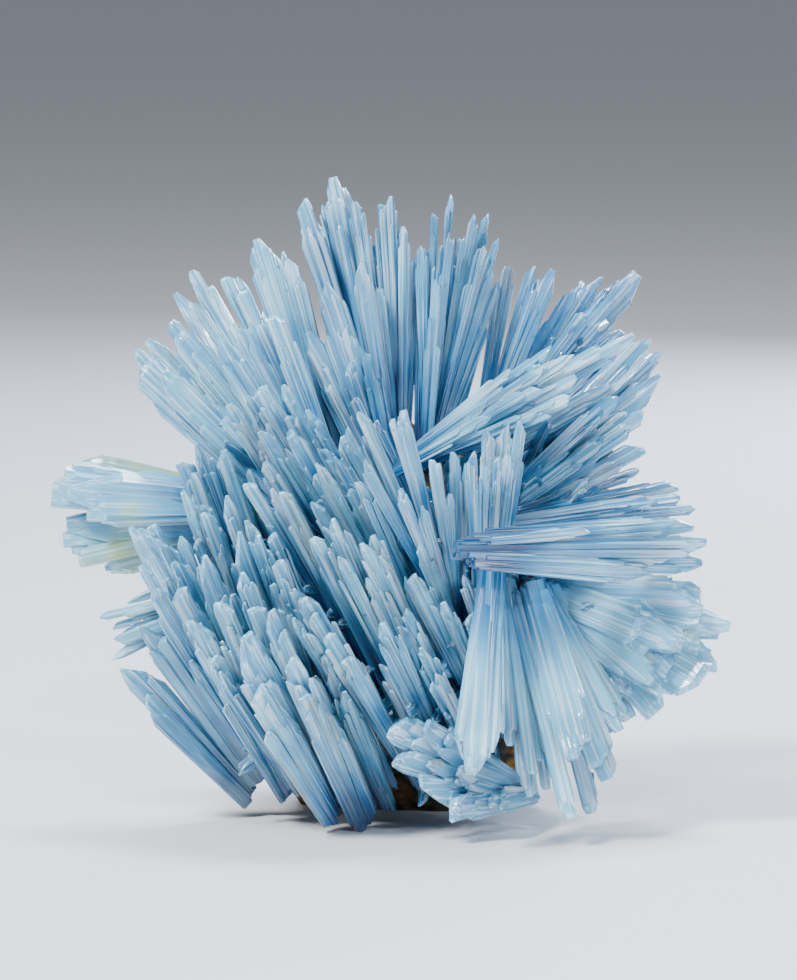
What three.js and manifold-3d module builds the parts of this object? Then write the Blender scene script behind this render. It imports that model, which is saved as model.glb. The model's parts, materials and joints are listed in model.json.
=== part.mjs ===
// Barite crystal cluster: bladed crystals in sprays that radiate from a rock matrix.
// Millimetres, +Z up. The showy face looks towards -Y and +X is to its right.
// The origin is the middle of the footprint, level with the flat foot of the rock.
import * as THREE from "three";
import { ConvexGeometry } from "three/addons/geometries/ConvexGeometry.js";
import { mergeVertices } from "three/addons/utils/BufferGeometryUtils.js";
import Module from "manifold-3d";

const wasm = await Module();
wasm.setup();
const { Manifold, Mesh } = wasm;

// The cluster leans back on its foot. Places are given on the leaning face:
// across to the right, depth away from the viewer, and height up the face.
const LEAN_DEG = 6;
// Moves the leaning face so that the origin is the middle of the footprint.
const FACE_TO_ORIGIN = [-0.1, -3.8, 0];

// Gap kept between neighbouring pieces.
const GAP = 0.3;
// Points closer than this are one point.
const MERGE_STEP = 1e-4;

// A crystal's form, as shares of its width and length.
const FORM = {
  thickness: 0.36, // thickness over width
  leastThickness: 0.75, // mm
  bevel: 0.3, // bevel over thickness
  rootWidth: 0.72, // width at the root over full width
  shoulder: 1.15, // the slope of the tip begins this many widths from its end
  longestSlope: 0.3, // but takes up no more than this share of the length
  lopsided: 0.35, // how much longer one slope of the tip is than the other
  skew: 0.18, // how far the tip sits off the middle line, over width
  narrow: 7, // mm, crystals narrower than this have square edges
};

// The share of each crystal's length that is grown together in the spray's massive base.
const BASE_SHARE = 0.12;
// How much narrower the base is at the root than at its top.
const BASE_TAPER = 0.5;
// How deep the crystals reach into it.
const BASE_HOLD = 0.8;

// Each spray has one or more fans, and each fan spreads out of a heart. A row is one
// crystal: its tip (across, depth, height), its width and its roll in degrees, 0 showing
// the broad face to the viewer. A row may end with a root of its own. Otherwise the root
// is the heart plus the tip's distance from the middle of the fan's tips, times the spread.
const SPRAYS = {
  hanging_blade: {
    color: "#a5cfe8",
    fans: [
      {
        heart: [14.6, -25, 38],
        spread: 0.25,
        baseShare: 0.04,
        crystals: [
          [12.1, -34, 8.3, 5.4, 24],
          [10.2, -31.5, 10.6, 3.6, -20],
          [15, -30, 13.9, 3.2, 30],
        ],
      },
    ],
  },
  hanging_fan: {
    color: "#9fcbe6",
    fans: [
      {
        heart: [22.4, -18, 32],
        spread: 0.3,
        baseShare: 0.04,
        crystals: [
          [27.3, -27, 10.4, 6.6, -8],
          [32.2, -21, 7.2, 5.6, 22],
          [30, -18, 11.5, 4.4, -25],
          [33.4, -20, 14, 3, 15],
          [29.8, -14, 1.8, 3.4, 12],
        ],
      },
      {
        heart: [17.6, -20, 33],
        spread: 0.2,
        baseShare: 0.04,
        crystals: [
          [26.1, -26, 1.6, 3.4, 15],
          [24.2, -22, 8, 2.8, -30],
          [20.6, -24, 8, 2.6, 20],
          [17.6, -21, 12, 2.6, -14],
          [20.8, -19, 4.5, 3, 12],
        ],
      },
    ],
  },
  cross_bundle: {
    color: "#8fbcdc",
    fans: [
      {
        heart: [13, -31, 41],
        spread: 0.3,
        baseShare: 0,
        crystals: [
          [46.4, -14, 41.2, 4.4, 18, 12.4, -33, 41],
          [46, -12, 38.6, 4, -20, 14.8, -31, 39.4],
          [44.6, -15, 44.3, 3.6, 30, 16.6, -30, 42.6],
          [38.2, -20, 37.2, 3.4, -10, 15.4, -32.5, 38.8],
          [41, -17, 42.6, 2.6, 40, 13.6, -32, 42.4],
          [29, -26.5, 43.6, 2, 12, 16.6, -32, 42.4],
        ],
      },
    ],
  },
  right_back_laths: {
    color: "#7fb0d2",
    fans: [
      {
        heart: [21, -13, 45.5],
        spread: 0.3,
        crystals: [
          [45.4, -6, 46.6, 2.2, 20],
          [38.6, -11, 47.8, 3, -12],
          [43, -2, 50.2, 3.2, 25],
          [43.2, -5, 48.2, 3, -30],
          [37.2, 0, 52.4, 2.4, 35],
        ],
      },
    ],
  },
  upright_bundle: {
    color: "#8cbad8",
    fans: [
      {
        heart: [14.6, -17, 36],
        spread: 0.45,
        crystals: [
          [11.8, -29, 54.9, 2.4, 15],
          [13.6, -30, 53.3, 1.8, -30],
          [15.6, -28, 54.3, 2, 20],
          [17.2, -27, 54.6, 2.6, -15],
          [14.4, -21, 58.3, 3.2, 25],
          [16.8, -20, 59.2, 3, -10],
          [19.2, -22, 59.6, 2.7, 30],
        ],
      },
    ],
  },
  crossing_needles: {
    color: "#94c4e2",
    fans: [
      {
        heart: [8.4, -17, 34],
        spread: 0.22,
        crystals: [
          [-4.6, -27, 60.9, 2, 10],
          [0.2, -26, 59.8, 1.7, -25],
          [1.5, -30, 60.9, 2.6, 15],
          [6.2, -27, 53.8, 2.3, -20],
          [-3.8, -31, 53.7, 1.9, 20],
          [1.2, -31, 49.6, 2.1, -15],
          [4.4, -29, 47, 2.1, 25],
          [9.4, -23, 55, 2.2, 14],
          [8.6, -24, 49, 2.2, -14],
        ],
      },
    ],
  },
  front_mass: {
    color: "#9ccbe6",
    fans: [
      {
        heart: [-4, -6, 37],
        spread: 0.9,
        crystals: [
          [-23.8, -17, 62, 3.6, 12],
          [-20.8, -15, 63.4, 2.8, -18],
          [-19.3, -19, 64.4, 3.6, -16],
          [-15.8, -18, 64.7, 2.9, 22],
          [-12.1, -21, 61.2, 3, -12],
          [-14.2, -24, 57.6, 3.8, 15],
          [-18.6, -22, 58.2, 3.2, -20],
          [-7.3, -24, 57, 3, 12],
          [-10.6, -27, 53.3, 3.6, -14],
          [-20.8, -24, 50.4, 3.2, -15],
        ],
      },
      {
        heart: [4, -8, 19],
        spread: 0.85,
        crystals: [
          [-15.6, -28, 49.2, 2.9, 14],
          [-8.8, -30, 45.2, 3, -22],
          [-11, -31, 42.6, 3.4, 12],
          [-7.2, -31, 39.9, 3, 20],
          [-3.8, -30, 41.8, 3, -12],
          [-1.4, -28, 39.9, 2.6, 15],
          [-4.4, -29, 50.6, 2.8, -10],
        ],
      },
      {
        heart: [7, -9, 10],
        spread: 0.85,
        crystals: [
          [-12.4, -34, 33.8, 4.4, -12],
          [-6.2, -33, 25.2, 2.9, 14],
          [-1.5, -32, 30, 3, -14],
          [2.2, -29, 32, 2.6, 12],
          [-9, -33, 28.5, 3.4, 16],
          [4.5, -28, 26.5, 2.7, -16],
          [6.8, -28, 22.8, 2.2, 10],
        ],
      },
      {
        heart: [15, -10, 17],
        spread: 0.6,
        crystals: [
          [4.2, -26, 41.5, 2.4, 12],
          [3, -28, 37, 2.6, -14],
          [7.6, -26, 33, 2.4, 12],
          [11.4, -24, 31, 2.4, 14],
          [10.8, -24, 37, 2.2, -16],
        ],
      },
    ],
  },
  left_upper_rows: {
    color: "#a2cee8",
    fans: [
      {
        heart: [-18.8, -5, 27],
        spread: 0.9,
        crystals: [
          [-28.6, -15, 56.3, 3.2, 16],
          [-24.8, -18, 55.2, 2.9, -14],
          [-30.6, -14, 53.7, 3.4, 10],
          [-30.1, -17, 49.2, 3.1, -22],
          [-27.1, -20, 46.3, 3, 18],
          [-30.8, -19, 42.6, 3, -16],
          [-24.2, -22, 48.5, 3.2, 12],
          [-20.6, -24, 45, 3.2, -14],
          [-18.2, -24, 40.5, 3, 12],
        ],
      },
    ],
  },
  left_lower_rows: {
    color: "#a6cfe6",
    fans: [
      {
        heart: [-20.5, -3, 10.5],
        spread: 0.5,
        crystals: [
          [-37.2, -16, 44.3, 6, -10],
          [-34.4, -20, 34.8, 4.2, 12],
          [-31.2, -23, 34.8, 4.4, -12],
          [-31.6, -21, 39, 3.2, 14],
          [-36.2, -15, 29.5, 4.6, -14],
          [-39.4, -12, 23.4, 5.2, 12],
          [-28.4, -25, 30.4, 4.6, -12],
          [-25.6, -26, 25, 4.6, 14],
        ],
      },
    ],
  },
  low_middle_rows: {
    color: "#9ac8e4",
    fans: [
      {
        heart: [-12.8, -6, 12.8],
        spread: 0.85,
        crystals: [
          [-27.5, -26, 39.6, 4.2, 14],
          [-22.6, -26, 42.9, 4.2, 12],
          [-19.6, -27, 42.8, 2.8, -14],
          [-21.8, -30, 37.2, 3.4, 18],
          [-16.3, -29, 39.2, 3.4, -20],
          [-24.6, -29, 33, 4.2, -12],
          [-19.5, -31, 32.5, 3.8, 14],
        ],
      },
      {
        heart: [-3.4, -8, 9],
        spread: 0.7,
        crystals: [
          [-14, -27, 35, 3.2, 12],
          [-11.6, -28, 30.5, 3, -14],
          [-9.4, -28, 25.5, 3, 12],
          [-7, -27, 20, 3, -14],
          [-11.4, -26, 22, 3, 14],
        ],
      },
    ],
  },
  low_front_blades: {
    color: "#a4d0ea",
    fans: [
      {
        heart: [-8.3, -14, 5.5],
        spread: 0.6,
        crystals: [
          [-21.6, -34, 27.6, 6.4, 10],
          [-14.4, -34, 25.2, 4.8, -16],
          [-17.6, -34, 31.6, 4, 16],
          [-19.4, -33, 20.8, 5.2, -12],
          [-12.4, -32, 19.6, 4.4, 14],
        ],
      },
    ],
  },
  foot_blades: {
    color: "#86b2cf",
    fans: [
      {
        heart: [18, -11, 5],
        spread: 0.2,
        crystals: [
          [0.3, -27, 15, 6.4, 12],
          [1.2, -26, 10.5, 6.4, -14],
          [4.6, -26, 6, 5.6, 14],
          [9, -24, 2.8, 5, -14],
          [5, -28, 14.6, 5.2, 10],
          [10, -26, 8.5, 5, -12],
          [14.6, -22, 3.6, 4, 14],
        ],
      },
    ],
  },
  lower_right_fan: {
    color: "#9dc8ea",
    fans: [
      {
        heart: [26, -8, 33],
        spread: 0.12,
        crystals: [
          [50, -12, 28.2, 9.5, -8],
          [46, -15, 33, 7.5, 12],
          [48.9, -10, 23.8, 9, 14],
          [45.5, -14, 20.8, 9, -12],
          [40.5, -18, 20.5, 8, 10],
          [40, -11, 17, 8, -14],
          [34.8, -9, 15, 6.4, 16],
          [40, -9, 35.5, 5, -20],
          [42, -18, 27, 8, 6],
        ],
      },
    ],
  },
  right_light_bundle: {
    color: "#94c3e6",
    fans: [
      {
        heart: [5, -8, 55],
        spread: 0.28,
        crystals: [
          [36.1, -13, 72.2, 3, 12],
          [31.2, -15, 70.3, 3, -20],
          [26.9, -17, 69.4, 2.6, 15],
          [24, -14, 70.4, 2.3, -12],
          [27.4, -19, 65.8, 2.8, 20],
          [26.3, -21, 63, 2.8, -15],
          [22.2, -19, 67, 2.8, 12],
          [17.8, -16, 66.8, 2.3, -22],
          [14.4, -21, 60.2, 2.8, -14],
          [22, -21, 64.4, 2.6, -10],
        ],
      },
    ],
  },
  right_spray: {
    color: "#83b4d8",
    fans: [
      {
        heart: [16, -6, 46.5],
        spread: 0.32,
        crystals: [
          [38.6, -3, 72.2, 4, 14],
          [40.2, -6, 70.4, 2.4, -20],
          [40.4, -8, 66.2, 5, 12],
          [39.6, -4, 69, 2.8, -25],
          [37.7, -10, 60.9, 3.4, 15],
          [35.4, -13, 58.6, 3.4, -14],
          [37.4, -9, 56.1, 4, 10],
          [33.6, -12, 63.4, 3.2, -18],
          [31, -14, 56.6, 3.2, 20],
        ],
      },
    ],
  },
  upper_right_spray: {
    color: "#7badd6",
    fans: [
      {
        heart: [17, 7, 61],
        spread: 0.26,
        crystals: [
          [17.9, 5, 83.4, 2.8, 15],
          [21.4, 3, 83.3, 2.5, -20],
          [24.4, 1, 82.5, 3.7, 12],
          [27.6, 4, 79.4, 3.2, -14],
          [31.2, 5, 82, 5.2, 10],
          [34.6, 8, 81.6, 4, -18],
          [37.5, 4, 81.8, 4.8, 14],
          [34.4, 0, 73.6, 3.4, 20],
          [29.4, -1, 75.4, 3, -15],
        ],
      },
    ],
  },
  needle_fan: {
    color: "#84b6da",
    fans: [
      {
        heart: [6.2, 1.5, 57],
        spread: 0.17,
        crystals: [
          [4.5, 0, 86.1, 1.6, 20],
          [6.6, 1, 91, 1.6, 15],
          [9.2, 3, 93.9, 1.5, -15],
          [8.9, -3, 87.2, 1.9, 20],
          [12.5, 0, 90.9, 1.7, 12],
          [14.6, 3, 91.2, 1.7, -18],
          [14.2, -3, 86.1, 1.5, 25],
          [16.1, 1, 87.3, 1.5, -10],
          [15.3, -2, 82.9, 1.7, 18],
          [16, 3, 80.2, 2.1, -22],
          [6.9, -4, 81, 2.3, -12],
        ],
      },
    ],
  },
  crown_spray: {
    color: "#89bddb",
    fans: [
      {
        heart: [0.5, 2.5, 52],
        spread: 0.17,
        crystals: [
          [-8.8, 4, 96.6, 3.4, 12],
          [-7, 7, 95.2, 2.6, -18],
          [-5.4, 3, 92.9, 2.6, 20],
          [-10.4, 8, 92.6, 1.9, -10],
          [-13.4, 0, 93.1, 3.4, 14],
          [-9.8, -8, 80.2, 5.4, -10],
          [-4.6, -6, 83.4, 3.2, 16],
          [-3.6, -10, 69.6, 2.6, -15],
          [-1.4, 2, 92.5, 1.7, 20],
          [-0.2, 0, 93.6, 2, -12],
          [0.6, 2, 91.5, 1.5, 22],
          [2, -1, 89, 1.9, -16],
          [-2, 8, 84, 2.6, 10],
          [3.4, 6, 84.6, 2.2, -20],
          [-12.4, -5, 73, 4.4, 12],
        ],
      },
    ],
  },
  upper_left_spray: {
    color: "#97c8e0",
    fans: [
      {
        heart: [-11.5, 0, 50],
        spread: 0.36,
        crystals: [
          [-19.6, 2, 87.4, 4.2, 12],
          [-20.8, 5, 86, 3.2, -16],
          [-15.2, 0, 84.2, 3.2, 14],
          [-24.8, 4, 81.6, 3.2, -12],
          [-22.4, -1, 79.2, 3.2, 20],
          [-30.1, 7, 82.6, 3, -18],
          [-32.1, 5, 79.4, 4.6, 12],
          [-33.2, 2, 74.7, 3.4, -14],
          [-32.2, -4, 72.4, 4.6, 15],
          [-36.4, 3, 72.2, 3.6, -12],
          [-38.4, 2, 70.4, 3.4, 16],
          [-37.4, -3, 67.6, 6.6, -10],
          [-34, -7, 66.4, 6, 12],
          [-26, -7, 72, 4.6, -14],
          [-22.4, -9, 73.4, 3.8, 14],
          [-17.4, -8, 75.4, 4.2, -12],
        ],
      },
    ],
  },
  left_pair: {
    color: "#a9cbd8",
    fans: [
      {
        heart: [-24, -3, 46],
        spread: 0.3,
        crystals: [
          [-50.2, -8, 49.8, 8, -8],
          [-45, -10, 46.4, 4.6, 14],
          [-46, -5, 53.6, 5, 12],
          [-49, -4, 42.8, 7, 10],
          [-46.5, -6, 39.2, 4, -16],
          [-42.6, -2, 37.4, 4, 14],
        ],
      },
    ],
  },
  left_needles: {
    color: "#a9cde4",
    fans: [
      {
        heart: [-24, -3, 34],
        spread: 0.3,
        crystals: [
          [-43.3, -9, 30.6, 1.9, -12],
          [-41.4, -7, 29, 1.9, 20],
          [-41, -8, 26.8, 2.7, -14],
          [-41.8, -6, 24.2, 1.9, 12],
        ],
      },
    ],
  },
  back_left_spray: {
    color: "#8db6cc",
    fans: [
      {
        heart: [-11, 23.5, 41],
        spread: 0.3,
        crystals: [
          [-27, 30, 58, 4.6, 12],
          [-20, 33, 62, 4.4, -16],
          [-30, 28, 49, 4.6, -12],
          [-22, 35, 50, 4.6, 18],
          [-29, 28, 40, 4.4, -14],
          [-20, 35, 39, 4.4, 16],
        ],
      },
    ],
  },
  back_right_spray: {
    color: "#86b0c8",
    fans: [
      {
        heart: [12, 23.5, 44],
        spread: 0.3,
        crystals: [
          [27, 29, 62, 4.6, 12],
          [19, 33, 64, 4.4, -14],
          [32, 27, 52, 4.6, -12],
          [25, 34, 52, 4.6, 14],
          [30, 28, 42, 4.2, -18],
          [16, 36, 54, 4.4, 12],
        ],
      },
    ],
  },
};

// The rock: a lumpy block behind and below the crystals, cut flat at the foot.
const ROCK = {
  middle: [1.4, 12.4, 27],
  halfSize: [24, 16, 31],
  lumpHeight: 0.1, // over the half size
  lumpTurns: [3.1, 4.3, 3.7, 5.9], // how fast the waves that make the lumps turn
  lumpStarts: [1.3, 0.4, 2.1], // and where they start
  detail: 3,
  squareness: 0.5, // 0 is an ellipsoid
  squarePower: 3,
  color: "#4a4632",
  roughness: 0.9,
};
const CRYSTAL_ROUGHNESS = 0.18;

const lean = THREE.MathUtils.degToRad(LEAN_DEG);
const acrossFace = new THREE.Vector3(1, 0, 0);
const intoFace = new THREE.Vector3(0, Math.cos(lean), -Math.sin(lean));
const upFace = new THREE.Vector3(0, Math.sin(lean), Math.cos(lean));

// A place on the leaning face, as a point in the part's frame.
function onFace([across, depth, height]) {
  return new THREE.Vector3(...FACE_TO_ORIGIN)
    .addScaledVector(acrossFace, across)
    .addScaledVector(intoFace, depth)
    .addScaledVector(upFace, height);
}

// A closed geometry as a solid that can be joined and cut.
function solidOf(geometry) {
  const bare = geometry.clone();
  bare.deleteAttribute("normal");
  bare.deleteAttribute("uv");
  const merged = mergeVertices(bare, MERGE_STEP);
  return new Manifold(
    new Mesh({
      numProp: 3,
      vertProperties: new Float32Array(merged.attributes.position.array),
      triVerts: new Uint32Array(merged.index.array),
    }),
  );
}

// A solid as a geometry with flat faces.
function geometryOf(solid) {
  const mesh = solid.getMesh();
  const geometry = new THREE.BufferGeometry();
  const places = new Float32Array(mesh.vertProperties);
  geometry.setAttribute("position", new THREE.BufferAttribute(places, 3));
  geometry.setIndex(new THREE.BufferAttribute(new Uint32Array(mesh.triVerts), 1));
  geometry.computeVertexNormals();
  return geometry;
}

// The outline of one bladed crystal, root at the origin and tip along +Y.
// One side of the tip slopes longer than the other.
function bladeOutline(length, width, side) {
  const half = width / 2;
  const slope = Math.min(FORM.shoulder * width, FORM.longestSlope * length);
  return new THREE.Shape([
    new THREE.Vector2(-half * FORM.rootWidth, 0),
    new THREE.Vector2(half * FORM.rootWidth, 0),
    new THREE.Vector2(half, length - slope * (1 - side * FORM.lopsided)),
    new THREE.Vector2(side * FORM.skew * width, length),
    new THREE.Vector2(-half, length - slope * (1 + side * FORM.lopsided)),
  ]);
}

// One crystal from root to tip. Growing it by the gap gives the room it needs.
function crystal({ tip, root, width, roll }, grow) {
  const along = tip.clone().sub(root);
  const length = along.length() + grow;
  along.normalize();
  const thickness = Math.max(FORM.thickness * width, FORM.leastThickness) + 2 * grow;
  const narrow = width < FORM.narrow;
  const bevel = narrow ? 0 : FORM.bevel * thickness;
  const outline = bladeOutline(length, width + 2 * grow - 2 * bevel, roll > 0 ? 1 : -1);
  const geometry = new THREE.ExtrudeGeometry(outline, {
    depth: thickness - 2 * bevel,
    bevelEnabled: !narrow,
    bevelThickness: bevel,
    bevelSize: bevel,
    bevelSegments: 1,
  });
  geometry.translate(0, 0, bevel - thickness / 2);
  const towardsViewer = intoFace.clone().negate();
  const across = new THREE.Vector3().crossVectors(along, towardsViewer).normalize();
  const facing = new THREE.Vector3().crossVectors(across, along);
  geometry.rotateY(THREE.MathUtils.degToRad(roll));
  geometry.applyMatrix4(new THREE.Matrix4().makeBasis(across, along, facing).setPosition(root));
  return solidOf(geometry);
}

// The root and tip of each crystal of a fan, as points in the part's frame.
function crystalLines({ heart, spread, crystals }) {
  const mean = (k) => crystals.reduce((sum, row) => sum + row[k], 0) / crystals.length;
  const middle = [mean(0), mean(1), mean(2)];
  return crystals.map(([x, depth, height, width, roll, ...ownRoot]) => {
    const place = [x, depth, height];
    const root = ownRoot.length ? ownRoot : heart.map((h, k) => h + spread * (place[k] - middle[k]));
    return { tip: onFace(place), root: onFace(root), width, roll };
  });
}

// The massive base of a fan: a block that tapers to the root, with a flat top that every
// crystal rises from. It moves the crystals' roots up to just inside that top.
function baseSolid(lines, share, grow) {
  const along = new THREE.Vector3();
  lines.forEach(({ tip, root }) => along.add(tip).sub(root));
  const meanLength = along.length() / lines.length;
  along.normalize();
  const sideways = new THREE.Vector3().crossVectors(along, intoFace).normalize();
  const inwards = new THREE.Vector3().crossVectors(sideways, along);
  const rootLevels = lines.map(({ root }) => root.dot(along));
  const levels = [
    Math.min(...rootLevels) - grow,
    Math.max(...rootLevels) + share * meanLength + grow,
  ];
  const corners = levels.flatMap((level, end) => {
    const room = (axis) => {
      const places = lines.flatMap(({ tip, root, width }) => {
        const reached = (level - root.dot(along)) / (tip.dot(along) - root.dot(along));
        const centre = root.clone().lerp(tip, Math.max(reached, 0)).dot(axis);
        return [centre - width / 2, centre + width / 2];
      });
      const inset = end === 0 ? (BASE_TAPER * (Math.max(...places) - Math.min(...places))) / 2 : 0;
      return [Math.min(...places) - grow + inset, Math.max(...places) + grow - inset];
    };
    return room(sideways).flatMap((p) =>
      room(inwards).map((q) =>
        along.clone().multiplyScalar(level).addScaledVector(sideways, p).addScaledVector(inwards, q),
      ),
    );
  });
  lines.forEach(({ tip, root }) => {
    const rise = levels[1] - BASE_HOLD - root.dot(along);
    root.lerp(tip, rise / (tip.dot(along) - root.dot(along)));
  });
  return solidOf(new ConvexGeometry(corners));
}

// All crystals of a spray joined in one solid, with the bases that they share.
function spraySolid({ fans }, grow) {
  return Manifold.union(
    fans.flatMap((fan) => {
      const lines = crystalLines(fan);
      const { baseShare = BASE_SHARE } = fan;
      const base = baseShare ? [baseSolid(lines, baseShare, grow)] : [];
      return [...base, ...lines.map((line) => crystal(line, grow))];
    }),
  );
}

// The largest of the bodies that a cut leaves.
function largestBody(solid) {
  return solid.decompose().reduce((best, body) => (body.volume() > best.volume() ? body : best));
}

// The rock, squared off a little, with lumps from a few crossing waves.
function rockSolid(grow) {
  const geometry = new THREE.IcosahedronGeometry(1, ROCK.detail);
  const place = geometry.attributes.position;
  const point = new THREE.Vector3();
  const [turnX, turnY, turnZ, turnBoth] = ROCK.lumpTurns;
  const [startX, startY, startZ] = ROCK.lumpStarts;
  const power = ROCK.squarePower;
  for (let i = 0; i < place.count; i++) {
    point.fromBufferAttribute(place, i).normalize();
    const lump =
      Math.sin(turnX * point.x + startX) * Math.sin(turnY * point.y + startY) +
      Math.sin(turnZ * point.z + startZ) * Math.sin(turnBoth * point.y + turnY * point.x);
    const reach = Math.pow(
      Math.abs(point.x) ** power + Math.abs(point.y) ** power + Math.abs(point.z) ** power,
      -ROCK.squareness / power,
    );
    point.multiplyScalar(reach * (1 + ROCK.lumpHeight * lump));
    point.set(...ROCK.halfSize.map((half, k) => point.getComponent(k) * (half + grow)));
    place.setXYZ(i, point.x, point.y, point.z);
  }
  geometry.translate(...ROCK.middle);
  const reachUp = 2 * (ROCK.middle[2] + ROCK.halfSize[2]);
  const above = new THREE.BoxGeometry(reachUp, reachUp, reachUp);
  above.translate(0, 0, reachUp / 2);
  return solidOf(geometry).intersect(solidOf(above));
}

function piece(name, solid, color, roughness) {
  const material = new THREE.MeshStandardMaterial({ color, roughness, metalness: 0, flatShading: true });
  const mesh = new THREE.Mesh(geometryOf(solid), material);
  mesh.name = name;
  return mesh;
}

// The rock keeps its whole form. Each spray gives room to it and to the sprays before it.
const group = new THREE.Group();
group.add(piece("matrix_rock", rockSolid(0), ROCK.color, ROCK.roughness));
let taken = rockSolid(GAP);
for (const [name, spray] of Object.entries(SPRAYS)) {
  const solid = largestBody(spraySolid(spray, 0).subtract(taken));
  taken = taken.add(spraySolid(spray, GAP));
  group.add(piece(name, solid, spray.color, CRYSTAL_ROUGHNESS));
}

export default group;
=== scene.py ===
"""A cluster of pale blue barite blades on iron oxide rock, laid out as a Blender add-on."""

import itertools
import json
import math
import random

import bmesh
import bpy
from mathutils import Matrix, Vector, noise
from mathutils.bvhtree import BVHTree


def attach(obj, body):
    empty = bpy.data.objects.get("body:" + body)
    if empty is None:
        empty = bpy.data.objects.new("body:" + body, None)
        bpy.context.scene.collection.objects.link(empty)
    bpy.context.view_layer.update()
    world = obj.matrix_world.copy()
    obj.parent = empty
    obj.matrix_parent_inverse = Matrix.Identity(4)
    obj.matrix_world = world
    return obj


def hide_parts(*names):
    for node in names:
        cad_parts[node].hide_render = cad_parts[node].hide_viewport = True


bl_info = {
    "name": "Barite Cluster",
    "version": (1, 0, 0),
    "blender": (4, 5, 0),
    "location": "3D View > Sidebar > Barite",
    "description": "Builds a cluster of bladed barite crystals on its rock, with a stage to show it on",
    "category": "Add Mesh",
}

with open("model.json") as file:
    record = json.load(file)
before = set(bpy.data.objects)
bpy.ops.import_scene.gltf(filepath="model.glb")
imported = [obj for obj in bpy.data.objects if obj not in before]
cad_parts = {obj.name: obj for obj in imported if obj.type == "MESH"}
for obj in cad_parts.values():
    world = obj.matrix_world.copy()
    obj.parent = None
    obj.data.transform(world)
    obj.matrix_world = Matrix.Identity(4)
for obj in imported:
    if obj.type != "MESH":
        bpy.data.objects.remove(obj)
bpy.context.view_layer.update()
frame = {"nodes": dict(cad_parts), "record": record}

# The crystals are placed on a face that leans back: across to the right, depth away
# from the viewer and height up the face, all in millimetres.
MM = 0.001
LEAN = math.radians(6)
FACE_TO_ORIGIN = Vector((-0.1, -3.8, 0))
ACROSS_FACE = Vector((1, 0, 0))
INTO_FACE = Vector((0, math.cos(LEAN), -math.sin(LEAN)))
UP_FACE = Vector((0, math.sin(LEAN), math.cos(LEAN)))

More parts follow.
